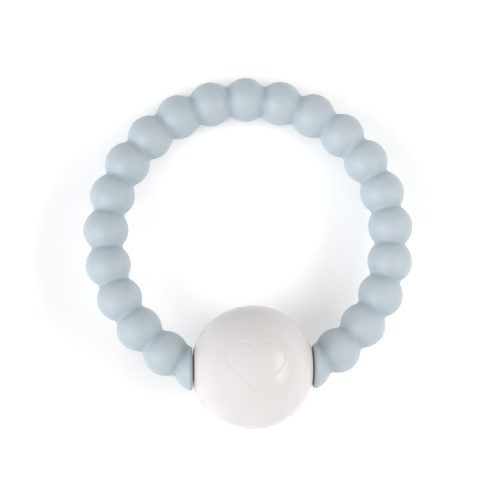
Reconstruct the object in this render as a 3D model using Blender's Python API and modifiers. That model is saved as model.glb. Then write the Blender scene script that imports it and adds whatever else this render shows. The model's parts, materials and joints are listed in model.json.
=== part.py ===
"""A teething ring: one silicone moulding of fused beads whose two ends are trapped in a hollow rattle ball.

The object lies at rest on the plane z = 0. +Y runs from the ball to the far end of the ring, +X to its right.
The ball is fatter than the beads, so the plane of the ring slopes down towards the far end. The ball turns on
the ends of the ring, and it rests with its front shell straight up.
"""

import math

import bmesh
import bpy
from mathutils import Matrix, Vector

MM = 0.001

# Beaded ring
RING_RADIUS = 42.1 * MM  # circle through the centres of the beads
BEAD_RADIUS = 6.55 * MM
BEAD_COUNT = 21
BEAD_PITCH = math.radians(14.35)  # angle between neighbouring beads, seen from the ring's centre
VALLEY_FILLET = 1.5 * MM  # radius of the groove between two beads
SECTIONS_PER_HALF_BEAD = 3  # between the bead's centre and its groove
RING_BEVEL_RESOLUTION = 7  # 18 sides round the moulding

# Ends of the ring: a collar outside the ball, then a neck and an anchor head inside it
COLLAR_RADIUS = 6.9 * MM  # the collar is a larger bead, cut flat against the ball
COLLAR_CENTRE = 15.9 * MM  # from the ball's centre to that bead's
COLLAR_RIM = 1.1 * MM  # rounding of the rim where it is cut
NECK_RADIUS = 3.5 * MM
HEAD_RADIUS = 5.8 * MM
HEAD_INNER = 12.3 * MM  # from the ball's centre to the head's inner face
HEAD_OUTER = 14.6 * MM
HEAD_CHAMFER = 0.4 * MM

# Ball
BALL_RADIUS = 18.0 * MM
BALL_WALL = 2.4 * MM
BALL_FLAT = 17.2 * MM  # from the ball's centre to the flat on each side
BALL_OFFSET = 38.4 * MM  # from the ring's centre to the ball's
HOLE_RADIUS = 3.8 * MM
POCKET_RADIUS = 6.2 * MM  # pocket that holds an anchor head
POCKET_INNER = 11.9 * MM
POCKET_OUTER = 15.0 * MM
BOSS_RADIUS = 7.6 * MM  # outside of the pocket's own wall
BULKHEAD = 10.5 * MM  # from the ball's centre to the bulkhead's chamber side
TOUCH_GAP = 0.3 * MM  # kept between pieces that touch

# Lap joint between the shells
LAP_INNER = 15.9 * MM
LAP_OUTER = 16.7 * MM
LAP_HEIGHT = 1.2 * MM
LAP_ROOT = 1.0 * MM  # how far the lip's foot is sunk in the rim that carries it
LAP_HALF_ANGLE = math.radians(33.0)

# Rattle pellets
PELLET_RADIUS = 2.0 * MM
PELLETS_ROUND_THE_MIDDLE = 6
PELLET_PITCH = 2 * PELLET_RADIUS + TOUCH_GAP

BALL_STEPS = 40
COLLAR_STEPS = 32
SPHERE_ARC_STEPS = 18
CHAMBER_ARC_STEPS = 10
LAP_ARC_STEPS = 10
MERGE = 0.001 * MM

CHAMBER_RADIUS = BALL_RADIUS - BALL_WALL
COLLAR_FACE = BALL_FLAT + TOUCH_GAP
RING_SLOPE = math.asin((BALL_RADIUS - BEAD_RADIUS) / (BALL_OFFSET + RING_RADIUS))
BALL_TO_FAR_BEAD = (BALL_OFFSET + RING_RADIUS) * math.cos(RING_SLOPE)
BALL_Y = (BALL_RADIUS - BEAD_RADIUS - BALL_TO_FAR_BEAD) / 2  # puts the middle of the whole length at y = 0
BALL_CENTRE = Vector((0, BALL_Y, BALL_RADIUS))


def make_collections():
    """The collection of the parts, and one for the cutters and the shapes that a union takes in."""
    for old in list(bpy.data.objects):
        bpy.data.objects.remove(old, do_unlink=True)
    parts = bpy.data.collections.new("teething_ring")
    helpers = bpy.data.collections.new("teething_ring_cutters")
    bpy.context.scene.collection.children.link(parts)
    bpy.context.scene.collection.children.link(helpers)
    helpers.hide_render = True
    return parts, helpers


def make_material(name, color, roughness):
    material = bpy.data.materials.new(name)
    material.use_nodes = True
    shader = material.node_tree.nodes["Principled BSDF"]
    shader.inputs["Base Color"].default_value = (*color, 1)
    shader.inputs["Roughness"].default_value = roughness
    shader.inputs["Metallic"].default_value = 0
    return material


def silicone_material():
    return make_material("pale_blue_silicone", (0.58, 0.69, 0.75), 0.6)


def ball_material():
    return make_material("white_ball_plastic", (0.90, 0.88, 0.87), 0.35)


def pellet_material():
    return make_material("pellet_plastic", (0.80, 0.80, 0.78), 0.4)


def add_empty(name, collection, matrix):
    empty = bpy.data.objects.new(name, None)
    empty.empty_display_size = 10 * MM
    empty.matrix_world = matrix
    collection.objects.link(empty)
    return empty


def add_object(name, data, collection, parent):
    added = bpy.data.objects.new(name, data)
    collection.objects.link(added)
    added.parent = parent
    return added


def as_cutter(helper):
    helper.hide_render = True
    helper.display_type = "WIRE"
    return helper


def add_boolean(piece, operation, other):
    modifier = piece.modifiers.new(f"{operation.lower()}_{other.name}", "BOOLEAN")
    modifier.operation = operation
    modifier.object = other
    modifier.solver = "EXACT"


def settle(piece, material):
    """Applies the piece's modifiers and gives it smooth shading with crisp edges, and its material."""
    graph = bpy.context.evaluated_depsgraph_get()
    mesh = bpy.data.meshes.new_from_object(piece.evaluated_get(graph))
    piece.modifiers.clear()
    piece.data = mesh
    mesh.name = piece.name
    mesh.materials.clear()
    mesh.materials.append(material)
    mesh.shade_smooth()
    mesh.set_sharp_from_angle(angle=math.radians(40))


def arc(radius, start, end, steps, centre=(0.0, 0.0)):
    """Points of an arc as (distance from the axis, height), for angles measured up from the horizontal."""
    points = []
    for step in range(steps + 1):
        angle = start + (end - start) * step / steps
        points.append((centre[0] + radius * math.cos(angle), centre[1] + radius * math.sin(angle)))
    return points


def turned(name, profile, steps, collection, parent, closed=False):
    """A solid turned about its own Z axis from (radius, height) points that run from top to bottom.

    A closed profile is a loop clear of the axis, such as a ring's section.
    """
    mesh = bpy.data.meshes.new(name)
    points = [(radius, 0, height) for radius, height in profile]
    edges = [(i, i + 1) for i in range(len(points) - 1)]
    if closed:
        edges.append((len(points) - 1, 0))
    mesh.from_pydata(points, edges, [])
    piece = add_object(name, mesh, collection, parent)
    screw = piece.modifiers.new("turn", "SCREW")
    screw.axis = "Z"
    screw.angle = math.tau
    screw.steps = steps
    screw.render_steps = steps
    screw.use_merge_vertices = True
    screw.merge_threshold = MERGE
    screw.use_smooth_shade = True
    return piece


def along_ball_axis(piece, side, steps):
    """Lays a turned piece's axis along X, its top towards this side, with no edge on the parting plane."""
    half_step = math.pi / steps
    piece.matrix_basis = Matrix.Rotation(side * math.pi / 2, 4, "Y") @ Matrix.Rotation(half_step, 4, "Z")


def mesh_from_curve(curve_object, collection):
    """The curve's solid as a mesh object in the same place, with its caps welded on."""
    graph = bpy.context.evaluated_depsgraph_get()
    mesh = bpy.data.meshes.new_from_object(curve_object.evaluated_get(graph))
    welded = bmesh.new()
    welded.from_mesh(mesh)
    bmesh.ops.remove_doubles(welded, verts=welded.verts, dist=MERGE)
    bmesh.ops.recalc_face_normals(welded, faces=welded.faces)
    welded.to_mesh(mesh)
    welded.free()
    name = curve_object.name
    parent = curve_object.parent
    place = curve_object.matrix_basis.copy()
    bpy.data.objects.remove(curve_object, do_unlink=True)
    solid = add_object(name, mesh, collection, parent)
    solid.matrix_basis = place
    return solid


# The beaded ring


def half_chord():
    """Half the distance between two neighbouring beads' centres."""
    return RING_RADIUS * math.sin(BEAD_PITCH / 2)


def moulding_radius(distance):
    """Radius of the moulding at this distance from a bead's centre: the bead, then the groove's fillet."""
    tangent = half_chord() * BEAD_RADIUS / (BEAD_RADIUS + VALLEY_FILLET)
    if distance <= tangent:
        return math.sqrt(BEAD_RADIUS**2 - distance**2)
    fillet_centre = math.sqrt((BEAD_RADIUS + VALLEY_FILLET) ** 2 - half_chord() ** 2)
    return fillet_centre - math.sqrt(VALLEY_FILLET**2 - (half_chord() - distance) ** 2)


def bead_centres():
    """Centres of the beads in the ring's plane, anticlockwise from the right of the ball to its left."""
    centres = []
    for bead in range(BEAD_COUNT):
        angle = math.pi / 2 + (bead - (BEAD_COUNT - 1) / 2) * BEAD_PITCH
        centres.append(Vector((RING_RADIUS * math.cos(angle), RING_RADIUS * math.sin(angle), 0)))
    return centres


def end_sections(centre, direction):
    """Sections that close the last bead, out to a small flat that the collar hides."""
    sections = []
    for share in (0.25, 0.48, 0.68, 0.84, 0.95):
        distance = share * BEAD_RADIUS
        sections.append((centre + distance * direction, math.sqrt(BEAD_RADIUS**2 - distance**2)))
    return sections


def ring_sections():
    """Centre and radius of each section along the moulding, straight from bead to bead."""
    centres = bead_centres()
    tangent = half_chord() * BEAD_RADIUS / (BEAD_RADIUS + VALLEY_FILLET)
    steps = SECTIONS_PER_HALF_BEAD
    rising = [tangent * (step + 1) / steps for step in range(steps)]
    first_end = end_sections(centres[0], (centres[0] - centres[1]).normalized())
    sections = list(reversed(first_end))
    for here, there in zip(centres, centres[1:]):
        direction = (there - here).normalized()
        sections.append((here, BEAD_RADIUS))
        for distance in rising:
            sections.append((here + distance * direction, moulding_radius(distance)))
        sections.append((here + half_chord() * direction, moulding_radius(half_chord())))
        for distance in reversed(rising):
            sections.append((there - distance * direction, moulding_radius(distance)))
    sections.append((centres[-1], BEAD_RADIUS))
    sections += end_sections(centres[-1], (centres[-1] - centres[-2]).normalized())
    return sections


def make_bead_chain(name, collection, parent):
    """The row of beads: a tube on straight runs between the beads' centres, with a radius at each section."""
    sections = ring_sections()
    curve = bpy.data.curves.new(name, "CURVE")
    curve.dimensions = "3D"
    curve.twist_mode = "Z_UP"
    curve.bevel_depth = 1.0
    curve.bevel_resolution = RING_BEVEL_RESOLUTION
    curve.use_fill_caps = True
    spline = curve.splines.new("POLY")
    spline.points.add(len(sections) - 1)
    for point, (centre, radius) in zip(spline.points, sections):
        point.co = (*centre, 1)
        point.radius = radius
    chain = add_object(name, curve, collection, parent)
    return mesh_from_curve(chain, collection)


def ring_end_profile():
    """Collar, neck and anchor head, as (radius, distance from the ball's centre)."""
    rim_height = COLLAR_FACE + COLLAR_RIM
    rim_angle = math.asin((rim_height - COLLAR_CENTRE) / (COLLAR_RADIUS - COLLAR_RIM))
    rim_centre = ((COLLAR_RADIUS - COLLAR_RIM) * math.cos(rim_angle), rim_height)
    back = arc(COLLAR_RADIUS, math.pi / 2, rim_angle, 7, (0, COLLAR_CENTRE))
    profile = [(0, COLLAR_CENTRE + COLLAR_RADIUS)] + back[1:]
    profile += arc(COLLAR_RIM, rim_angle, -math.pi / 2, 4, rim_centre)[1:]
    profile += [
        (NECK_RADIUS, COLLAR_FACE),
        (NECK_RADIUS, HEAD_OUTER),
        (HEAD_RADIUS - HEAD_CHAMFER, HEAD_OUTER),
        (HEAD_RADIUS, HEAD_OUTER - HEAD_CHAMFER),
        (HEAD_RADIUS, HEAD_INNER + HEAD_CHAMFER),
        (HEAD_RADIUS - HEAD_CHAMFER, HEAD_INNER),
        (0, HEAD_INNER),
    ]
    return profile


def make_beaded_ring(parts, helpers, ring_frame, ball_axis):
    ring = make_bead_chain("beaded_ring", parts, ring_frame)
    for side, side_name in ((1, "right"), (-1, "left")):
        end = turned(f"ring_end_{side_name}", ring_end_profile(), COLLAR_STEPS, helpers, ball_axis)
        along_ball_axis(end, side, COLLAR_STEPS)
        add_boolean(ring, "UNION", as_cutter(end))
    settle(ring, silicone_material())


# The ball


def ball_profile():
    """Outside of the ball with its flats, and down each hole into the pocket of an anchor head."""
    flat_angle = math.asin(BALL_FLAT / BALL_RADIUS)
    pocket = [
        (0, POCKET_INNER),
        (POCKET_RADIUS, POCKET_INNER),
        (POCKET_RADIUS, POCKET_OUTER),
        (HOLE_RADIUS, POCKET_OUTER),
        (HOLE_RADIUS, BALL_FLAT),
    ]
    other_pocket = [(radius, -height) for radius, height in reversed(pocket)]
    return pocket + arc(BALL_RADIUS, flat_angle, -flat_angle, SPHERE_ARC_STEPS) + other_pocket


def chamber_profile():
    """Hollow between the bulkheads that the pellets rattle in."""
    edge_angle = math.asin(BULKHEAD / CHAMBER_RADIUS)
    wall = arc(CHAMBER_RADIUS, edge_angle, -edge_angle, CHAMBER_ARC_STEPS)
    return [(0, BULKHEAD)] + wall + [(0, -BULKHEAD)]


def side_hollow_profile():
    """Section of the hollow round a pocket's wall, which keeps the moulding an even thickness."""
    start = math.acos(BOSS_RADIUS / CHAMBER_RADIUS)
    end = math.asin(POCKET_INNER / CHAMBER_RADIUS)
    return arc(CHAMBER_RADIUS, start, end, 3) + [(BOSS_RADIUS, POCKET_INNER)]


def make_half_space(name, upward, helpers, ball_axis):
    """A block on one side of the parting plane, from half the joint's gap outwards."""
    size = 4 * BALL_RADIUS
    mesh = bpy.data.meshes.new(name)
    block = bmesh.new()
    bmesh.ops.create_cube(block, size=size)
    block.to_mesh(mesh)
    block.free()
    half = add_object(name, mesh, helpers, ball_axis)
    first_face = TOUCH_GAP / 2
    half.matrix_basis = Matrix.Translation((0, 0, upward * (size / 2 - first_face)))
    return as_cutter(half)


def make_lap(name, radii, heights, half_angle, helpers, ball_axis):
    """Two curved bars between these radii and heights, on the sides of the ball away from its flats."""
    inner, outer = radii
    low, high = heights
    curve = bpy.data.curves.new(name, "CURVE")
    curve.dimensions = "2D"
    curve.fill_mode = "BOTH"
    curve.extrude = (high - low) / 2
    for facing in (math.pi / 2, -math.pi / 2):
        start = facing - half_angle
        end = facing + half_angle
        outline = arc(outer, start, end, LAP_ARC_STEPS) + arc(inner, end, start, LAP_ARC_STEPS)
        spline = curve.splines.new("POLY")
        spline.points.add(len(outline) - 1)
        for point, (x, y) in zip(spline.points, outline):
            point.co = (x, y, 0, 1)
        spline.use_cyclic_u = True
    lap = add_object(name, curve, helpers, ball_axis)
    lap.matrix_basis = Matrix.Translation((0, 0, (low + high) / 2))
    return as_cutter(mesh_from_curve(lap, helpers))


def make_shell(name, cutters, parts, ball_axis):
    """Half of the ball with its half of every hollow."""
    shell = turned(name, ball_profile(), BALL_STEPS, parts, ball_axis)
    along_ball_axis(shell, 1, BALL_STEPS)
    for cutter in cutters:
        add_boolean(shell, "DIFFERENCE", cutter)
    return shell


def make_ball(parts, helpers, ball_axis):
    chamber = as_cutter(turned("chamber_cutter", chamber_profile(), BALL_STEPS, helpers, ball_axis))
    along_ball_axis(chamber, 1, BALL_STEPS)
    hollows = [chamber]
    for side, side_name in ((1, "right"), (-1, "left")):
        name = f"side_hollow_{side_name}"
        hollow = turned(name, side_hollow_profile(), BALL_STEPS, helpers, ball_axis, closed=True)
        along_ball_axis(hollow, side, BALL_STEPS)
        hollows.append(as_cutter(hollow))
    above = make_half_space("above_the_parting", 1, helpers, ball_axis)
    below = make_half_space("below_the_parting", -1, helpers, ball_axis)
    lip_radii = (LAP_INNER, LAP_OUTER)
    lip_heights = (-LAP_ROOT, LAP_HEIGHT)
    lip = make_lap("lap_lip", lip_radii, lip_heights, LAP_HALF_ANGLE, helpers, ball_axis)
    rebate_radii = (CHAMBER_RADIUS - TOUCH_GAP, LAP_OUTER + TOUCH_GAP)
    rebate_heights = (-LAP_ROOT, LAP_HEIGHT + TOUCH_GAP)
    rebate_half_angle = LAP_HALF_ANGLE + TOUCH_GAP / LAP_INNER
    rebate = make_lap("lap_rebate", rebate_radii, rebate_heights, rebate_half_angle, helpers, ball_axis)
    front = make_shell("ball_front_shell", [*hollows, below, rebate], parts, ball_axis)
    rear = make_shell("ball_rear_shell", [*hollows, above], parts, ball_axis)
    add_boolean(rear, "UNION", lip)
    plastic = ball_material()
    settle(front, plastic)
    settle(rear, plastic)


# The rattle pellets


def pellet_places():
    """Where the pellets rest: one at the chamber's lowest point and a ring of others round it."""
    reach = CHAMBER_RADIUS - TOUCH_GAP - PELLET_RADIUS
    places = [Vector((0, 0, -reach))]
    for number in range(PELLETS_ROUND_THE_MIDDLE):
        angle = math.tau * number / PELLETS_ROUND_THE_MIDDLE
        height = math.sqrt(reach**2 - PELLET_PITCH**2)
        places.append(Vector((PELLET_PITCH * math.cos(angle), PELLET_PITCH * math.sin(angle), -height)))
    return places


def make_pellets(parts, ball_axis):
    mesh = bpy.data.meshes.new("rattle_pellet")
    ball = bmesh.new()
    bmesh.ops.create_uvsphere(ball, u_segments=12, v_segments=8, radius=PELLET_RADIUS)
    ball.to_mesh(mesh)
    ball.free()
    mesh.materials.append(pellet_material())
    mesh.shade_smooth()
    for number, place in enumerate(pellet_places(), start=1):
        pellet = add_object(f"rattle_pellet_{number}", mesh, parts, ball_axis)
        pellet.location = place


def main():
    parts, helpers = make_collections()
    at_ball = Matrix.Translation(BALL_CENTRE)
    slope = Matrix.Rotation(-RING_SLOPE, 4, "X")
    ball_axis = add_empty("ball_axis", parts, at_ball)
    ring_frame = add_empty("ring_frame", parts, at_ball @ slope @ Matrix.Translation((0, BALL_OFFSET, 0)))
    make_beaded_ring(parts, helpers, ring_frame, ball_axis)
    make_ball(parts, helpers, ball_axis)
    make_pellets(parts, ball_axis)


main()
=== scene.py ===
"""The looks of a teething ring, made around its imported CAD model.

Lengths are in metres. The ring is built in its own plane, with its centre at the origin and the ball at -Y,
then laid on the table with the slope that the fatter ball gives it. The ball and the pellets are built about
their own centres. Every piece rides on the CAD body that it belongs to.
"""

import json
import math

import bmesh
import bpy
import numpy as np
from mathutils import Matrix, Vector

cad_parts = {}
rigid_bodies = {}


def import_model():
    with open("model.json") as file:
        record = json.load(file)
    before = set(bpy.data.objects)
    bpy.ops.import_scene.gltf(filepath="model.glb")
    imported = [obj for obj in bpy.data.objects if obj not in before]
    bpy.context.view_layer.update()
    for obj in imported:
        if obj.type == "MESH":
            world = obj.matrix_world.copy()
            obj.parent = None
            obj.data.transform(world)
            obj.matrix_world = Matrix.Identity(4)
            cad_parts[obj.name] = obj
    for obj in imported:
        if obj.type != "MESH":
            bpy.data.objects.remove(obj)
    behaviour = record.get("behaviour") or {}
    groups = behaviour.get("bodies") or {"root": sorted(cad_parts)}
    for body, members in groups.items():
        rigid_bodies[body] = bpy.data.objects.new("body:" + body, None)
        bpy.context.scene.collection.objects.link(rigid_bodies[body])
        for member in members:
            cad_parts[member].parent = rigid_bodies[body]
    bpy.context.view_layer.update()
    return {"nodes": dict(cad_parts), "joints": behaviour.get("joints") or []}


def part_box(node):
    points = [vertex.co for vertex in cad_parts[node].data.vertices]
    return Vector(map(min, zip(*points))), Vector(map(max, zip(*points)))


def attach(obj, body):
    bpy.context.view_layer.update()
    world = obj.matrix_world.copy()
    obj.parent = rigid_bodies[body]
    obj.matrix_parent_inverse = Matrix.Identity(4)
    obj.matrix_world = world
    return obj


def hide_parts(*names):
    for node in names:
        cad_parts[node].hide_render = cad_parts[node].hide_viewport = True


for startup_object in list(bpy.data.objects):
    bpy.data.objects.remove(startup_object, do_unlink=True)

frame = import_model()

MM = 0.001
CREASE_ANGLE = math.radians(38)  # edges sharper than this are shaded crisp

# Beaded ring
RING_RADIUS = 42.1 * MM  # circle through the centres of the beads
BEAD_RADIUS = 6.55 * MM
BEAD_COUNT = 21
BEAD_PITCH = math.radians(14.35)
VALLEY_FILLET = 1.3 * MM
BEAD_STEPS = 24  # sections across a bead, between its two grooves
VALLEY_STEPS = 8  # sections across a groove
SECTION_STEPS = 64  # points round a section, before those of the parting line
PARTING_HEIGHT = 0.06 * MM  # the line that the mould's halves leave in the ring's plane
PARTING_HALF_WIDTH = 0.24 * MM
GROOVE_SHADE_REACH = 1.3 * MM  # how far the painted shade of a groove spreads along the ring
PAINTED_GROOVE_SHADE = (0.86, 0.90, 0.92)  # what the silicone's colour is multiplied by there: painted shade that darkens the groove

# Ends of the ring
COLLAR_RADIUS = 6.9 * MM
COLLAR_CENTRE = 15.9 * MM  # from the ball's centre
COLLAR_RIM = 1.1 * MM  # rounding of the rim where the collar is cut flat
COLLAR_FACE = 17.5 * MM
COLLAR_FACE_RINGS = (5.0 * MM, 4.4 * MM)  # radii of the circles on the flat face
COLLAR_TURN_STEPS = 30  # sections that turn from the last groove to the face
COLLAR_TURN_EASE = 1.25  # above 1, they turn slowly at first
RIM_STEPS = 9
RIM_END = 0.0005 * MM  # keeps the last section of the rim just clear of the face
RAY_STEP = 0.1 * MM  # first search for the collar's surface along a ray
RAY_STEPS = 99
RAY_HALVINGS = 20  # the search is then halved this often
NECK_RADIUS = 3.5 * MM
NECK_ROOT = 0.4 * MM  # fillet between the collar's face and the neck
HEAD_RADIUS = 5.8 * MM
HEAD_INNER = 12.3 * MM
HEAD_OUTER = 14.6 * MM
HEAD_CHAMFER = 0.4 * MM
HEAD_FACE_SHARES = (0.7, 0.35)  # circles on the head's inner face, as shares of its flat's radius

# Ball
BALL_CENTRE = Vector(next(joint["pos_m"] for joint in frame["joints"] if joint["name"] == "ball_spin"))
BALL_RADIUS = BALL_CENTRE.z  # the ball rests on the table
BALL_OFFSET = 38.4 * MM  # from the ring's centre
BALL_WALL = 2.4 * MM
BALL_FLAT = 17.2 * MM
FLAT_EDGE = 0.3 * MM  # rounding between a flat and the sphere
HOLE_RADIUS = 3.8 * MM
HOLE_CHAMFER = 0.2 * MM
POCKET_RADIUS = 6.2 * MM
POCKET_INNER = 11.9 * MM
POCKET_OUTER = 15.0 * MM
BOSS_RADIUS = 7.6 * MM
BULKHEAD = 10.5 * MM
SEAM_HALF_GAP = 0.04 * MM
SEAM_EDGE = 0.15 * MM  # rounding of each shell's edge along the seam
LAP_RADII = (15.9 * MM, 16.7 * MM)
LAP_HEIGHTS = (-1.0 * MM, 1.2 * MM)
LAP_HALF_ANGLE = math.radians(33.0)
LAP_CLEARANCE = 0.3 * MM
LAP_STEPS = 24
COARSE_TURN = math.radians(1.2)  # between the points of the ball's sphere
FINE_TURN = math.radians(0.42)  # and between those of the patch that carries the engraving
FINE_PATCH = math.radians(32)  # how far that patch reaches from the front pole
EDGE_ROWS = 2  # rows of a flat's rounded edge that are set back along the seam with the sphere
SEAM_EDGE_SHARES = (0, 0.08, 0.25, 0.55)  # places of the first points across the seam's rounded edge
CHAMBER_POINTS = 33
HOLLOW_POINTS = 8
MERGE_DISTANCE = 0.0002 * MM  # doubled points that a Boolean leaves are merged within this
DEGENERATE_LENGTH = 0.0001 * MM

# Engraving on the front of the ball: the outline of a heart
HEART_WIDTH = 17.0 * MM
HEART_POINTS = 721
HEART_REACH = 0.75 * HEART_WIDTH  # from the front pole to beyond the outline
GROOVE_HALF_WIDTH = 0.3 * MM
GROOVE_DEPTH = 0.13 * MM

# Rattle pellets
PELLET_STEPS = 48
PELLET_ROWS = 20  # from the parting ridge to the gate's flat
PELLET_RIDGE_HEIGHT = 0.03 * MM
PELLET_RIDGE_HALF_WIDTH = 0.12 * MM
PELLET_RIDGE_ROWS = np.radians((3.4, 1.7, 0, -1.7, -3.4))  # latitudes
PELLET_ROWS_START = math.radians(6)  # latitude of the first row beyond the ridge
PELLET_GATE = math.radians(8)  # how far the gate's flat reaches from the pole

# Studio: the world is a low white wall that fades, between these elevations, into a black ceiling
WALL_TOP = (math.radians(6), math.radians(14))
WALL_COLOR = (0.88, 0.88, 0.88)
CEILING_COLOR = (0.0, 0.0, 0.0)
SUN_ANGLE = math.radians(55)  # how wide each of the broad lights looks
KEY_LIGHT = {"azimuth": 205, "elevation": 36, "strength": 1.95, "color": (0.98, 0.99, 1.0)}
LOW_LEFT_LIGHT = {"azimuth": 180, "elevation": 10, "strength": 0.75, "color": (0.90, 0.96, 1.0)}
RIGHT_LIGHT = {"azimuth": 5, "elevation": 32, "strength": 0.45, "color": (1.0, 0.985, 0.975)}
OVERHEAD_LIGHT = {"azimuth": 60, "elevation": 85, "strength": 0.96, "color": (1.0, 0.985, 0.975)}
STRIP_LIGHT = {"azimuth": 0, "elevation": 41, "strength": 1.45, "color": (1.0, 0.99, 0.98)}
STRIP_DISTANCE = 0.55  # from the ball's centre
STRIP_SIZE = (0.5, 0.22)  # along Y, and across
FLOOR_GLOW = 0.16
FLOOR_REACH = 4.0

# Camera: its lens, place and turn were fitted to the beads' centres and the outline in the photograph
SENSOR_WIDTH = 36  # millimetres, as the lens is
LENS = 120.3
CAMERA_PLACE = (-32.94 * MM, -24.88 * MM, 502.7 * MM)
CAMERA_TURN = (math.radians(2.996), math.radians(-3.817), math.radians(-0.983))
CLIP_RANGE = (0.01, 10.0)

CHAMBER_RADIUS = BALL_RADIUS - BALL_WALL
RING_SLOPE = math.asin((BALL_RADIUS - BEAD_RADIUS) / (BALL_OFFSET + RING_RADIUS))
RING_PLACE = (
    Matrix.Translation(BALL_CENTRE)
    @ Matrix.Rotation(-RING_SLOPE, 4, "X")
    @ Matrix.Translation((0, BALL_OFFSET, 0))
)


# Meshes


def add_object(name, data):
    """An object in the scene for a mesh, a light or a camera."""
    made = bpy.data.objects.new(name, data)
    bpy.context.scene.collection.objects.link(made)
    return made


def add_piece(name, mesh, place, material):
    """An object for a finished mesh, shaded smooth with crisp edges."""
    piece = add_object(name, mesh)
    piece.matrix_world = place
    mesh.name = name
    mesh.materials.clear()
    mesh.materials.append(material)
    mesh.shade_smooth()
    mesh.set_sharp_from_angle(angle=CREASE_ANGLE)
    return piece


def face_outward(mesh):
    """Turns every face of a closed mesh outward."""
    shape = bmesh.new()
    shape.from_mesh(mesh)
    bmesh.ops.recalc_face_normals(shape, faces=shape.faces)
    if shape.calc_volume(signed=True) < 0:
        bmesh.ops.reverse_faces(shape, faces=shape.faces)
    shape.to_mesh(mesh)
    shape.free()


def tube_mesh(name, sections):
    """A closed mesh through rings of points, each end closed on its middle."""
    sections = np.asarray(sections)
    count, around, _ = sections.shape
    verts = np.concatenate([sections.reshape(-1, 3), [sections[0].mean(0), sections[-1].mean(0)]])
    here = np.arange(around)
    after = (here + 1) % around
    faces = []
    for row in range(count - 1):
        a, b = row * around, (row + 1) * around
        faces += np.stack([a + here, a + after, b + after, b + here], axis=1).tolist()
    first, last = count * around, count * around + 1
    end = (count - 1) * around
    faces += [(first, int(k), int(j)) for j, k in zip(here, after)]
    faces += [(last, end + int(j), end + int(k)) for j, k in zip(here, after)]
    mesh = bpy.data.meshes.new(name)
    mesh.from_pydata(verts.tolist(), [], faces)
    face_outward(mesh)
    return mesh


def arc(radius, start, end, steps, centre=(0.0, 0.0)):
    """Points of an arc, for angles measured anticlockwise from the first axis."""
    angles = np.linspace(start, end, steps + 1)
    return [(centre[0] + radius * math.cos(a), centre[1] + radius * math.sin(a)) for a in angles]


# The beaded ring, in its own plane


def left_of(direction):
    """A direction in the ring's plane, turned anticlockwise by a right angle."""
    return np.array([-direction[1], direction[0]])


def turned_by(direction, angle):
    """A direction in the ring's plane, turned clockwise."""
    cos, sin = math.cos(angle), math.sin(angle)
    return np.array([cos * direction[0] + sin * direction[1], cos * direction[1] - sin * direction[0]])


def section_angles():
    """Angles round a section, with extra ones on both sides for the mould's parting line."""
    angles = [math.tau * k / SECTION_STEPS for k in range(SECTION_STEPS)]
    near = PARTING_HALF_WIDTH / BEAD_RADIUS
    for side in (0.0, math.pi):
        angles += [(side + offset) % math.tau for offset in (-near, -near / 2, near / 2, near)]
    return np.array(sorted(angles))


def parting_ridge(angles):
    """Height of the parting line's ridge at each of these angles."""
    from_plane = np.minimum(np.abs(np.sin(angles)) * BEAD_RADIUS, PARTING_HALF_WIDTH)
    return PARTING_HEIGHT * 0.5 * (1 + np.cos(math.pi * from_plane / PARTING_HALF_WIDTH))


def section(centre, outward, radii, angles):
    """Points of one section: a curve round its centre, in the plane of its outward direction and Z."""
    in_plane = radii * np.cos(angles)
    return np.stack(
        [
            centre[0] + in_plane * outward[0],
            centre[1] + in_plane * outward[1],
            radii * np.sin(angles),
        ],
        axis=1,
    )


def bead_centre(number):
    """Centre of a bead, numbered from the one at the right of the ball."""
    angle = math.pi / 2 + (number - (BEAD_COUNT - 1) / 2) * BEAD_PITCH
    return RING_RADIUS * np.array([math.cos(angle), math.sin(angle)])


class Valley:
    """The filleted groove between two spheres, turned about the line through their centres."""

    def __init__(self, start, start_radius, end, end_radius):
        self.start = start
        self.start_radius, self.end_radius = start_radius, end_radius
        self.span = np.linalg.norm(end - start)
        self.direction = (end - start) / self.span
        reach, end_reach = start_radius + VALLEY_FILLET, end_radius + VALLEY_FILLET
        self.along = (self.span**2 + reach**2 - end_reach**2) / (2 * self.span)
        self.height = math.sqrt(reach**2 - self.along**2)
        self.leaves = self.along * start_radius / reach  # from the first centre to where its sphere ends
        self.meets = (self.span - self.along) * end_radius / end_reach  # back from the second centre

    def sections(self, angles):
        """Sections between the two spheres, without the first and last circle."""
        first = math.asin((self.leaves - self.along) / VALLEY_FILLET)
        last = math.asin((self.span - self.meets - self.along) / VALLEY_FILLET)
        rows = []
        for swing in np.linspace(first, last, VALLEY_STEPS + 1)[1:-1]:
            centre = self.start + (self.along + VALLEY_FILLET * math.sin(swing)) * self.direction
            radius = self.height - VALLEY_FILLET * math.cos(swing)
            rows.append(section(centre, left_of(self.direction), radius + parting_ridge(angles), angles))
        return rows

    def distance(self, points):
        """Signed distance to the joined spheres, negative inside. The points are in the ring's frame."""
        flat = points[..., :2] - self.start
        along = flat @ self.direction
        across = np.sqrt((flat @ left_of(self.direction)) ** 2 + points[..., 2] ** 2)
        to_start = np.hypot(along, across) - self.start_radius
        to_end = np.hypot(along - self.span, across) - self.end_radius
        right, up = along - self.along, across - self.height
        beyond_start = -self.along * up + self.height * right >= 0
        before_end = -self.height * right - (self.span - self.along) * up >= 0
        in_fillet = beyond_start & before_end
        return np.where(in_fillet, VALLEY_FILLET - np.hypot(right, up), np.minimum(to_start, to_end))


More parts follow.
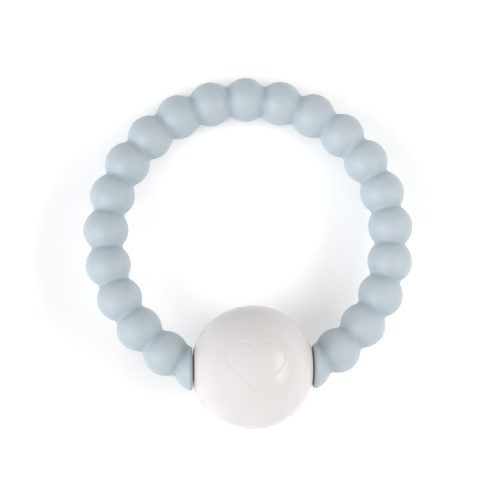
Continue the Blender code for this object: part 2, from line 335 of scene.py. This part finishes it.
def sphere_sections(centre, radius, before, after, angles):
    """Sections across a bead, in planes that fan from one groove's first circle to the next one's last.

    before and after are each a direction along the ring and a distance from the bead's centre.
    """
    rows = np.array([before[0], after[0]])
    pivot = centre + np.linalg.solve(rows, np.array([-before[1], after[1]]))
    reach = np.linalg.norm(centre - pivot)
    outward = (centre - pivot) / reach
    first, last = -math.asin(before[1] / radius), math.asin(after[1] / radius)
    made = []
    for latitude in np.linspace(first, last, BEAD_STEPS + 1):
        fan = math.asin(radius * math.sin(latitude) / reach)
        direction = turned_by(outward, fan)
        middle = pivot + reach * math.cos(fan) * direction
        made.append(section(middle, direction, radius * math.cos(latitude) + parting_ridge(angles), angles))
    return made


def collar_sections(valley, angles):
    """Sections from the last bead to the flat face of the collar, which turn from its groove to the face."""
    face = np.array([COLLAR_FACE, -BALL_OFFSET])
    rim_start = COLLAR_FACE + COLLAR_RIM
    leave = valley.start + valley.leaves * valley.direction
    pivot_rows = np.array([valley.direction, [1.0, 0.0]])
    pivot = np.linalg.solve(pivot_rows, np.array([leave @ valley.direction, rim_start]))
    swing = math.acos(-valley.direction[0])
    first_reach = np.linalg.norm(leave - pivot)
    last_reach = pivot[1] - face[1]
    planes = []
    for share in np.linspace(0, 1, COLLAR_TURN_STEPS + 1)[1:]:
        eased = share**COLLAR_TURN_EASE
        outward = turned_by(left_of(valley.direction), swing * eased)
        reach = first_reach + (last_reach - first_reach) * eased
        planes.append((pivot + reach * outward, outward))
    for step in range(1, RIM_STEPS + 1):
        depth = COLLAR_RIM * (1 - math.sin(math.pi / 2 * step / RIM_STEPS))
        planes.append((face + np.array([max(depth, RIM_END), 0]), np.array([0.0, -1.0])))
    ridge = parting_ridge(angles)
    made = []
    for centre, outward in planes:
        radii = ray_radii(valley, centre, outward, angles)
        fade = min(1.0, max(0.0, (centre[0] - COLLAR_FACE) / COLLAR_RIM))
        made.append(section(centre, outward, radii + ridge * fade, angles))
    return made


def ray_radii(valley, centre, outward, angles):
    """How far the surface of the last bead and collar lies from this centre, along each ray of a section."""

    def cut(radii):
        """Joined spheres, cut by the collar's face with a rounded rim: negative inside."""
        spheres = valley.distance(section(centre, outward, radii, angles))
        behind_face = COLLAR_FACE - (centre[0] + radii * np.cos(angles) * outward[0])
        rim = np.hypot(np.maximum(COLLAR_RIM + spheres, 0), np.maximum(COLLAR_RIM + behind_face, 0))
        return np.minimum(-COLLAR_RIM, np.maximum(spheres, behind_face)) + rim

    outer = np.zeros(len(angles))
    going = np.ones(len(angles), bool)
    for count in range(1, RAY_STEPS + 1):
        outer = np.where(going, count * RAY_STEP, outer)
        going &= cut(outer) < 0
    inner = outer - RAY_STEP
    for _ in range(RAY_HALVINGS):
        middle = (inner + outer) / 2
        inside = cut(middle) < 0
        inner = np.where(inside, middle, inner)
        outer = np.where(inside, outer, middle)
    return (inner + outer) / 2


def end_sections(angles):
    """The collar's face, the neck through the ball's hole, and the anchor head, as circles about X."""
    quarter = math.pi / 2
    root = NECK_RADIUS + NECK_ROOT
    rim = HEAD_RADIUS - HEAD_CHAMFER
    profile = [(COLLAR_FACE, radius) for radius in COLLAR_FACE_RINGS]
    profile += arc(NECK_ROOT, 0, -quarter, 5, (COLLAR_FACE - NECK_ROOT, root))
    profile += arc(NECK_ROOT, -quarter, -math.pi, 4, (HEAD_OUTER + NECK_ROOT, root))
    profile += arc(HEAD_CHAMFER, 0, quarter, 4, (HEAD_OUTER - HEAD_CHAMFER, rim))
    profile += arc(HEAD_CHAMFER, quarter, math.pi, 4, (HEAD_INNER + HEAD_CHAMFER, rim))
    profile += [(HEAD_INNER, share * rim) for share in HEAD_FACE_SHARES]
    down = np.array([0.0, -1.0])
    return [section(np.array([x, -BALL_OFFSET]), down, np.full(len(angles), r), angles) for x, r in profile]


def half_valleys():
    """The grooves from the one just left of the far bead to the one at the right collar."""
    middle = (BEAD_COUNT - 1) // 2
    centres = [bead_centre(number) for number in range(middle + 2)][::-1]
    centres.append(np.array([COLLAR_CENTRE, -BALL_OFFSET]))
    radii = [BEAD_RADIUS] * (len(centres) - 1) + [COLLAR_RADIUS]
    return [Valley(*pair) for pair in zip(centres, radii, centres[1:], radii[1:])]


def ring_half(valleys, angles):
    """Sections from the middle of the far bead to the end of the right anchor head."""
    made = []
    for number, (incoming, outgoing) in enumerate(zip(valleys, valleys[1:])):
        before = (incoming.direction, incoming.meets)
        after = (outgoing.direction, outgoing.leaves)
        rows = sphere_sections(outgoing.start, BEAD_RADIUS, before, after, angles)
        made += rows[BEAD_STEPS // 2:] if number == 0 else rows
        if outgoing is not valleys[-1]:
            made += outgoing.sections(angles)
    return made + collar_sections(valleys[-1], angles) + end_sections(angles)


def painted_shade_shares(points, valleys):
    """How much painted shade darkens the silicone: 1 at the bottom of a groove, fading to 0 along the ring,
    for points in the ring's frame.
    """
    flat = points[:, :2].copy()
    flat[:, 0] = np.abs(flat[:, 0])  # the left half mirrors the right one
    waists = np.array([valley.start + valley.along * valley.direction for valley in valleys])
    directions = np.array([valley.direction for valley in valleys])
    nearest = np.linalg.norm(flat[:, None] - waists, axis=2).argmin(axis=1)
    along = ((flat - waists[nearest]) * directions[nearest]).sum(axis=1)
    return np.exp(-((along / GROOVE_SHADE_REACH) ** 2))


def make_ring():
    """The whole moulding, from one anchor head round to the other."""
    angles = section_angles()
    valleys = half_valleys()
    right = np.array(ring_half(valleys, angles))
    left = right[:0:-1] * np.array([-1.0, 1.0, 1.0])
    mesh = tube_mesh("silicone_beads", np.concatenate([left, right]))
    points = np.array([vertex.co for vertex in mesh.vertices])
    # the groove attribute holds where painted shade darkens the silicone's colour
    groove = mesh.attributes.new("groove", "FLOAT", "POINT")
    groove.data.foreach_set("value", painted_shade_shares(points, valleys))
    mesh.transform(RING_PLACE)  # so that the piece's box is square to the table
    ring = add_piece("silicone_bead_ring", mesh, Matrix.Identity(4), silicone_material())
    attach(ring, "ring")
    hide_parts("beaded_ring")


# The ball, about its own centre, with its axis along X


def graded(bounds_and_steps):
    """Increasing values from a list of (start, step) ranges that ends with (end, None)."""
    values = []
    for (start, step), (end, _) in zip(bounds_and_steps, bounds_and_steps[1:]):
        count = max(1, round((end - start) / step))
        values += list(np.linspace(start, end, count, endpoint=False))
    return np.array(values + [bounds_and_steps[-1][0]])


def ball_outside(fine):
    """Profile of the ball's outside from the right hole to the left one, as (x, radius).

    With it come the first row of the sphere and the first row after it.
    """
    edge = FLAT_EDGE
    sphere = BALL_RADIUS - edge
    lift = math.asin((BALL_FLAT - edge) / sphere)  # latitude where the flat's rounded edge meets the sphere
    corner = (BALL_FLAT - edge, sphere * math.cos(lift))
    right = [(BALL_FLAT - HOLE_CHAMFER, HOLE_RADIUS), (BALL_FLAT, HOLE_RADIUS + HOLE_CHAMFER)]
    right += arc(edge, 0, math.pi / 2 - lift, 3, corner)[:-1]
    dense = FINE_TURN if fine else COARSE_TURN
    ranges = [(-lift, COARSE_TURN), (-FINE_PATCH, dense), (FINE_PATCH, COARSE_TURN), (lift, None)]
    outer = [(BALL_RADIUS * math.sin(a), BALL_RADIUS * math.cos(a)) for a in graded(ranges)[::-1]]
    left = [(-x, radius) for x, radius in reversed(right)]
    return right + outer + left, (len(right), len(right) + len(outer))


def on_chamber_wall(latitudes):
    """Points of the ball's inner sphere at these latitudes, as (x, radius)."""
    return [(CHAMBER_RADIUS * math.sin(a), CHAMBER_RADIUS * math.cos(a)) for a in latitudes]


def wall_section(fine):
    """The ball's wall cut along its axis, as three profiles of (x, radius).

    They go round the pockets and the outside, along the chamber, and round the hollow on the right. With
    them come the first row of the outside that is rounded at the seam and the first row after those.
    """
    outside, sphere = ball_outside(fine)
    pocket = [(POCKET_INNER, 0), (POCKET_INNER, POCKET_RADIUS), (POCKET_OUTER, POCKET_RADIUS)]
    pocket += [(POCKET_OUTER, HOLE_RADIUS)]
    edge = math.asin(BULKHEAD / CHAMBER_RADIUS)
    chamber = [(-BULKHEAD, 0)]
    chamber += on_chamber_wall(np.linspace(-edge, edge, CHAMBER_POINTS))
    chamber += [(BULKHEAD, 0)]
    loop = pocket + outside + [(-x, radius) for x, radius in reversed(pocket)]
    start, end = math.acos(BOSS_RADIUS / CHAMBER_RADIUS), math.asin(POCKET_INNER / CHAMBER_RADIUS)
    hollow = on_chamber_wall(np.linspace(start, end, HOLLOW_POINTS))
    hollow += [(POCKET_INNER, BOSS_RADIUS)]
    first = len(pocket) + sphere[0] - EDGE_ROWS
    last = len(pocket) + sphere[1] + EDGE_ROWS
    return loop, chamber, hollow, (first, last)


def heart_outline():
    """Points along the outline of a heart, in the plane that faces the ball's front pole."""
    turns = np.linspace(0, math.tau, HEART_POINTS)
    half_width = 16  # of the well-known curve below, before it is scaled
    x = half_width * np.sin(turns) ** 3
    y = 13 * np.cos(turns) - 5 * np.cos(2 * turns) - 2 * np.cos(3 * turns) - np.cos(4 * turns)
    middle = (y.max() + y.min()) / 2
    return np.stack([x, y - middle], axis=1) * HEART_WIDTH / (2 * half_width)


def engraving_depth(points):
    """Depth of the engraved line at points of the sphere, by their distance from the outline.

    Distances from the front pole are measured along the sphere, so that the heart isn't stretched.
    """
    depth = np.zeros(len(points))
    near = np.nonzero((points[:, 2] > 0) & (np.hypot(points[:, 0], points[:, 1]) < HEART_REACH))[0]
    flat = points[near, :2]
    sideways = np.maximum(np.linalg.norm(flat, axis=1), 1e-9)  # never zero, since it divides below
    along_sphere = BALL_RADIUS * np.arcsin(np.minimum(1, sideways / BALL_RADIUS))
    flat = flat * (along_sphere / sideways)[:, None]
    outline = heart_outline()
    closest = np.full(len(flat), np.inf)
    for start, end in zip(outline, outline[1:]):
        side = end - start
        share = np.clip(((flat - start) @ side) / (side @ side), 0, 1)
        away = np.linalg.norm(flat - start - share[:, None] * side, axis=1)
        closest = np.minimum(closest, away)
    inside = closest < GROOVE_HALF_WIDTH
    depth[near[inside]] = GROOVE_DEPTH * 0.5 * (1 + np.cos(math.pi * closest[inside] / GROOVE_HALF_WIDTH))
    return depth


def half_turned(shape, profile, turns, upward, outer_rows=None, closed=False):
    """Adds to a bmesh the surface that a profile sweeps in half a turn, ending flat on the parting plane.

    The outer rows, given as the first and the one after the last, are rounded at the seam and, on the front
    shell, engraved.
    """
    rows = []
    for number, (x, radius) in enumerate(profile):
        if radius == 0:
            rows.append([shape.verts.new((x, 0, upward * SEAM_HALF_GAP))] * len(turns))
            continue
        radii = np.full(len(turns), radius)
        on_outside = outer_rows is not None and outer_rows[0] <= number < outer_rows[1]
        if on_outside:
            radii = radii - seam_rounding(turns)
        points = np.stack([np.full(len(turns), x), radii * np.cos(turns), radii * np.sin(turns)], axis=1)
        if on_outside and upward > 0:
            lengths = np.linalg.norm(points, axis=1)
            points *= (1 - engraving_depth(points) / lengths)[:, None]
        points[:, 2] = upward * np.maximum(points[:, 2], SEAM_HALF_GAP)
        rows.append([shape.verts.new(point) for point in points])
    pairs = list(zip(rows, rows[1:])) + ([(rows[-1], rows[0])] if closed else [])
    for here, there in pairs:
        for k in range(len(turns) - 1):
            corners = [here[k], here[k + 1], there[k + 1], there[k]]
            shape.faces.new(list(dict.fromkeys(corners)))


def seam_rounding(turns):
    """How far a shell's outside is set back towards the seam at each end of its half turn."""
    reach = SEAM_EDGE / BALL_RADIUS
    from_seam = np.minimum(np.minimum(turns, math.pi - turns) / reach, 1)
    return SEAM_EDGE * (1 - np.sqrt(1 - (1 - from_seam) ** 2))


def half_turn_angles(fine):
    """Angles of the half turn, close together by the seam and, for a fine shell, round the front pole."""
    reach = SEAM_EDGE / BALL_RADIUS
    rounding = [share * reach for share in SEAM_EDGE_SHARES]
    dense = FINE_TURN if fine else COARSE_TURN
    pole = math.pi / 2
    ranges = [(reach, COARSE_TURN / 2), (4 * reach, COARSE_TURN), (pole - FINE_PATCH, dense), (pole, None)]
    first = np.concatenate([rounding, graded(ranges)])
    return np.concatenate([first, math.pi - first[-2::-1]])


def lap_cutter(name, radii, heights, half_angle):
    """Two curved bars on the sides of the ball away from its flats."""
    shape = bmesh.new()
    for facing in (math.pi / 2, -math.pi / 2):
        outline = arc(radii[1], facing - half_angle, facing + half_angle, LAP_STEPS)
        outline += arc(radii[0], facing + half_angle, facing - half_angle, LAP_STEPS)
        low = [shape.verts.new((x, y, heights[0])) for x, y in outline]
        high = [shape.verts.new((x, y, heights[1])) for x, y in outline]
        shape.faces.new(reversed(low))
        shape.faces.new(high)
        for k in range(len(outline)):
            j = (k + 1) % len(outline)
            shape.faces.new((low[k], low[j], high[j], high[k]))
    mesh = bpy.data.meshes.new(name)
    shape.to_mesh(mesh)
    shape.free()
    return add_object(name, mesh)


def with_boolean(mesh, cutter, operation):
    """The mesh with a cutter taken from it or joined to it. The cutter is used up."""
    carrier = add_object("carrier", mesh)
    modifier = carrier.modifiers.new("lap", "BOOLEAN")
    modifier.operation = operation
    modifier.object = cutter
    modifier.solver = "EXACT"
    graph = bpy.context.evaluated_depsgraph_get()
    made = bpy.data.meshes.new_from_object(carrier.evaluated_get(graph))
    bpy.data.objects.remove(carrier, do_unlink=True)
    bpy.data.objects.remove(cutter, do_unlink=True)
    shape = bmesh.new()
    shape.from_mesh(made)
    bmesh.ops.remove_doubles(shape, verts=shape.verts, dist=MERGE_DISTANCE)
    bmesh.ops.dissolve_degenerate(shape, edges=shape.edges, dist=DEGENERATE_LENGTH)
    shape.to_mesh(made)
    shape.free()
    return made


def shell_mesh(name, upward, fine):
    """Half of the ball: its wall's section swept half a turn, closed on the parting plane."""
    loop, chamber, hollow, sphere = wall_section(fine)
    turns = half_turn_angles(fine)
    shape = bmesh.new()
    half_turned(shape, loop, turns, upward, sphere)
    half_turned(shape, chamber, turns, upward)
    half_turned(shape, hollow, turns, upward, closed=True)
    half_turned(shape, [(-x, radius) for x, radius in hollow], turns, upward, closed=True)
    rim = [edge for edge in shape.edges if edge.is_boundary]
    bmesh.ops.triangle_fill(shape, edges=rim, use_beauty=True, normal=(0, 0, -upward))
    mesh = bpy.data.meshes.new(name)
    shape.to_mesh(mesh)
    shape.free()
    face_outward(mesh)
    return mesh


def make_ball():
    """Both shells, with the lip of the rear one in the rebate of the front one."""
    plastic = ball_material()
    place = Matrix.Translation(BALL_CENTRE)
    rebate_radii = (CHAMBER_RADIUS - LAP_CLEARANCE, LAP_RADII[1] + LAP_CLEARANCE)
    rebate_heights = (LAP_HEIGHTS[0], LAP_HEIGHTS[1] + LAP_CLEARANCE)
    rebate_angle = LAP_HALF_ANGLE + LAP_CLEARANCE / LAP_RADII[0]
    rebate = lap_cutter("lap_rebate", rebate_radii, rebate_heights, rebate_angle)
    lip = lap_cutter("lap_lip", LAP_RADII, LAP_HEIGHTS, LAP_HALF_ANGLE)
    front_mesh = with_boolean(shell_mesh("front", 1, True), rebate, "DIFFERENCE")
    rear_mesh = with_boolean(shell_mesh("rear", -1, False), lip, "UNION")
    for side, mesh in (("front", front_mesh), ("rear", rear_mesh)):
        shell = add_piece(f"ball_shell_{side}", mesh, place, plastic)
        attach(shell, "ball")
        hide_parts(f"ball_{side}_shell")


# The rattle pellets


def pellet_mesh(radius):
    """A moulded pellet: a sphere with a fine parting ridge round it and a small flat at each pole."""
    upper = np.linspace(math.pi / 2 - PELLET_GATE, PELLET_ROWS_START, PELLET_ROWS)
    latitudes = np.concatenate([upper, PELLET_RIDGE_ROWS, -upper[::-1]])
    angles = np.linspace(0, math.tau, PELLET_STEPS, endpoint=False)
    sections = []
    for latitude in latitudes:
        height = radius * math.sin(latitude)
        from_ridge = min(abs(height) / PELLET_RIDGE_HALF_WIDTH, 1)
        ridge = PELLET_RIDGE_HEIGHT * 0.5 * (1 + math.cos(math.pi * from_ridge))
        reach = radius * math.cos(latitude) + ridge
        flat = np.full(len(angles), height)
        sections.append(np.stack([reach * np.cos(angles), reach * np.sin(angles), flat], axis=1))
    return tube_mesh("pellet", sections)


def make_pellets():
    """The pellets, each turned differently, where the CAD model has them."""
    plastic = pellet_material()
    count = sum(name.startswith("rattle_pellet_") for name in frame["nodes"])
    for number in range(1, count + 1):
        low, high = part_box(f"rattle_pellet_{number}")
        mesh = pellet_mesh((high.z - low.z) / 2)
        place = Matrix.Translation((low + high) / 2) @ Matrix.Rotation(number, 4, "X")
        pellet = add_piece(f"pellet_{number}", mesh, place, plastic)
        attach(pellet, f"pellet_{number}")
        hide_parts(f"rattle_pellet_{number}")


# Materials


# A mix node has sockets of the same names for several kinds of data. These are the ones for colours.
MIX_INPUTS = (0, 6, 7)
MIX_OUTPUT = 2


class Nodes:
    """Adds nodes to a material, with their textures in the piece's own coordinates."""

    def __init__(self, name):
        self.material = bpy.data.materials.new(name)
        self.material.use_nodes = True
        self.tree = self.material.node_tree
        self.shader = self.tree.nodes["Principled BSDF"]
        self.place = self.tree.nodes.new("ShaderNodeTexCoord").outputs["Object"]

    def link(self, output, socket):
        self.tree.links.new(output, socket)

    def noise(self, feature, detail=2.0, distortion=0.0):
        """Noise whose features are about this many metres across."""
        node = self.tree.nodes.new("ShaderNodeTexNoise")
        node.inputs["Scale"].default_value = 1 / feature
        node.inputs["Detail"].default_value = detail
        node.inputs["Distortion"].default_value = distortion
        self.link(self.place, node.inputs["Vector"])
        return node.outputs["Fac"]

    def attribute(self, name):
        """A number stored at the points of the mesh."""
        node = self.tree.nodes.new("ShaderNodeAttribute")
        node.attribute_name = name
        return node.outputs["Fac"]

    def ramp(self, value, low, high, low_color, high_color):
        """Colour that goes from one to the other as a value goes from low to high."""
        node = self.tree.nodes.new("ShaderNodeValToRGB")
        node.color_ramp.elements[0].position = low
        node.color_ramp.elements[0].color = (*low_color, 1)
        node.color_ramp.elements[1].position = high
        node.color_ramp.elements[1].color = (*high_color, 1)
        self.link(value, node.inputs["Fac"])
        return node.outputs["Color"]

    def between(self, value, low, high, to_low, to_high):
        """A value remapped from one range to another, and kept inside it."""
        node = self.tree.nodes.new("ShaderNodeMapRange")
        limits = {"From Min": low, "From Max": high, "To Min": to_low, "To Max": to_high}
        for socket, number in limits.items():
            node.inputs[socket].default_value = number
        self.link(value, node.inputs["Value"])
        return node.outputs["Result"]

    def multiplied(self, share, color, tint):
        """A colour multiplied by a tint, as far as a share says. Each is a socket or a constant."""
        node = self.tree.nodes.new("ShaderNodeMix")
        node.data_type = "RGBA"
        node.blend_type = "MULTIPLY"
        for number, value in zip(MIX_INPUTS, (share, color, tint)):
            if isinstance(value, bpy.types.NodeSocket):
                self.link(value, node.inputs[number])
            else:
                node.inputs[number].default_value = value
        return node.outputs[MIX_OUTPUT]

    def bump(self, height, strength, distance, after=None):
        """A bump from a height, on top of another bump if one is given."""
        node = self.tree.nodes.new("ShaderNodeBump")
        node.inputs["Strength"].default_value = strength
        node.inputs["Distance"].default_value = distance
        self.link(height, node.inputs["Height"])
        if after is not None:
            self.link(after, node.inputs["Normal"])
        return node.outputs["Normal"]


def silicone_material():
    """Pale blue silicone with a satin-matte skin, faint clouding, fine grain and painted shade in the
    grooves.
    """
    nodes = Nodes("pale_blue_silicone")
    shader = nodes.shader
    clouds = nodes.noise(9 * MM, detail=3)
    bluer, greyer = (0.492, 0.576, 0.614), (0.517, 0.568, 0.616)
    tint = nodes.ramp(clouds, 0.35, 0.65, bluer, greyer)
    speckle = nodes.between(nodes.noise(0.35 * MM, detail=2), 0.3, 0.7, 0.97, 1.0)
    shade = nodes.ramp(speckle, 0.9, 1.0, (0.9, 0.9, 0.9), (1, 1, 1))
    speckled = nodes.multiplied(1.0, tint, shade)
    # painted shade: the colour is darkened towards the bottom of each groove
    groove_shade_share = nodes.attribute("groove")
    nodes.link(nodes.multiplied(groove_shade_share, speckled, (*PAINTED_GROOVE_SHADE, 1)), shader.inputs["Base Color"])
    nodes.link(nodes.between(nodes.noise(3 * MM), 0.3, 0.7, 0.38, 0.46), shader.inputs["Roughness"])
    grain = nodes.bump(nodes.noise(0.25 * MM, detail=3), 0.25, 0.02 * MM)
    skin = nodes.bump(nodes.noise(2.5 * MM, detail=1), 0.2, 0.08 * MM, after=grain)
    nodes.link(skin, shader.inputs["Normal"])
    shader.inputs["Subsurface Weight"].default_value = 0.15
    shader.inputs["Subsurface Radius"].default_value = (1.0, 1.0, 1.0)
    shader.inputs["Subsurface Scale"].default_value = 1.2 * MM
    shader.inputs["IOR"].default_value = 1.41
    return nodes.material


def ball_material():
    """Satin white plastic: the mould's eroded grain, faint mottling, and a slight unevenness of gloss."""
    nodes = Nodes("satin_white_plastic")
    shader = nodes.shader
    clouds = nodes.noise(14 * MM, detail=2)
    warmer, cooler = (0.762, 0.716, 0.706), (0.762, 0.726, 0.721)
    nodes.link(nodes.ramp(clouds, 0.3, 0.7, warmer, cooler), shader.inputs["Base Color"])
    nodes.link(nodes.between(nodes.noise(4 * MM, detail=4), 0.3, 0.7, 0.22, 0.26), shader.inputs["Roughness"])
    nodes.link(nodes.bump(nodes.noise(0.18 * MM, detail=2), 0.12, 0.01 * MM), shader.inputs["Normal"])
    shader.inputs["IOR"].default_value = 1.45
    return nodes.material


def pellet_material():
    """Glossy off-white plastic with a faint swirl."""
    nodes = Nodes("pellet_plastic")
    shader = nodes.shader
    swirl = nodes.noise(1.5 * MM, detail=3, distortion=1.0)
    darker, lighter = (0.74, 0.74, 0.71), (0.81, 0.81, 0.79)
    nodes.link(nodes.ramp(swirl, 0.3, 0.7, darker, lighter), shader.inputs["Base Color"])
    nodes.link(nodes.between(nodes.noise(0.6 * MM), 0.3, 0.7, 0.14, 0.24), shader.inputs["Roughness"])
    nodes.link(nodes.bump(nodes.noise(0.2 * MM), 0.1, 0.01 * MM), shader.inputs["Normal"])
    return nodes.material


# Floor, light and camera


def make_floor():
    """A wide white floor with a faint glow of its own."""
    nodes = Nodes("pale_floor")
    shader = nodes.shader
    darker, lighter = (0.93, 0.93, 0.93), (0.96, 0.96, 0.96)
    nodes.link(nodes.ramp(nodes.noise(0.3), 0.3, 0.7, darker, lighter), shader.inputs["Base Color"])
    shader.inputs["Roughness"].default_value = 0.9
    shader.inputs["Emission Color"].default_value = (1, 1, 1, 1)
    shader.inputs["Emission Strength"].default_value = FLOOR_GLOW
    mesh = bpy.data.meshes.new("floor")
    shape = bmesh.new()
    bmesh.ops.create_grid(shape, x_segments=1, y_segments=1, size=FLOOR_REACH)
    shape.to_mesh(mesh)
    shape.free()
    mesh.materials.append(nodes.material)
    floor = add_object("floor", mesh)


def make_world():
    """A studio with a low white wall all round, black above it."""
    world = bpy.data.worlds.new("studio")
    bpy.context.scene.world = world
    world.use_nodes = True
    tree = world.node_tree
    direction = tree.nodes.new("ShaderNodeTexCoord").outputs["Generated"]
    split = tree.nodes.new("ShaderNodeSeparateXYZ")
    ramp = tree.nodes.new("ShaderNodeValToRGB")
    ramp.color_ramp.interpolation = "EASE"
    ramp.color_ramp.elements[0].position = math.sin(WALL_TOP[0])
    ramp.color_ramp.elements[0].color = (*WALL_COLOR, 1)
    ramp.color_ramp.elements[1].position = math.sin(WALL_TOP[1])
    ramp.color_ramp.elements[1].color = (*CEILING_COLOR, 1)
    tree.links.new(direction, split.inputs["Vector"])
    tree.links.new(split.outputs["Z"], ramp.inputs["Fac"])
    tree.links.new(ramp.outputs["Color"], tree.nodes["Background"].inputs["Color"])


def add_lamp(name, kind, azimuth, elevation, strength, color):
    """A light that shines from this direction, in degrees: azimuth from +X round to +Y, elevation upward.

    With the lamp comes the direction itself.
    """
    around, up = math.radians(azimuth), math.radians(elevation)
    toward = Vector((math.cos(up) * math.cos(around), math.cos(up) * math.sin(around), math.sin(up)))
    light = bpy.data.lights.new(name, kind)
    light.energy = strength
    light.color = color
    lamp = add_object(name, light)
    lamp.rotation_euler = toward.to_track_quat("Z", "Y").to_euler()
    return lamp, toward


def add_strip():
    """A soft box high on the right, which gives the ball its upright highlight."""
    lamp, toward = add_lamp("strip", "AREA", **STRIP_LIGHT)
    lamp.location = BALL_CENTRE + STRIP_DISTANCE * toward
    lamp.data.shape = "RECTANGLE"
    lamp.data.size, lamp.data.size_y = STRIP_SIZE


def add_sun(name, azimuth, elevation, strength, color, gloss=False):
    """A broad, distant light.

    It either shades surfaces or, with gloss, is only reflected in them, so that its wide glare can be kept
    off the rim of the white ball.
    """
    lamp, _ = add_lamp(name, "SUN", azimuth, elevation, strength, color)
    lamp.data.angle = SUN_ANGLE
    lamp.visible_diffuse = not gloss
    lamp.visible_glossy = gloss
    return lamp


def make_lights():
    """Cool light from the left, warmer light from the right and above, the silicone's sheen and the strip."""
    add_sun("key", **KEY_LIGHT)
    add_sun("low_left", **LOW_LEFT_LIGHT)
    add_sun("right", **RIGHT_LIGHT)
    add_sun("overhead", **OVERHEAD_LIGHT)
    sheen = add_sun("sheen", **KEY_LIGHT, gloss=True)
    only_ring = bpy.data.collections.new("only_ring")
    only_ring.objects.link(bpy.data.objects["silicone_bead_ring"])
    sheen.light_linking.receiver_collection = only_ring
    add_strip()


def make_camera():
    """Half a metre above the object, looking down a few degrees off the vertical, as in the photograph."""
    data = bpy.data.cameras.new("camera")
    data.sensor_width = SENSOR_WIDTH
    data.lens = LENS
    data.clip_start, data.clip_end = CLIP_RANGE
    camera = add_object("camera", data)
    camera.location = CAMERA_PLACE
    camera.rotation_euler = CAMERA_TURN
    bpy.context.scene.camera = camera


make_camera()
make_world()
make_floor()
make_ring()
make_ball()
make_pellets()
make_lights()
bpy.context.scene.view_settings.view_transform = "Standard"
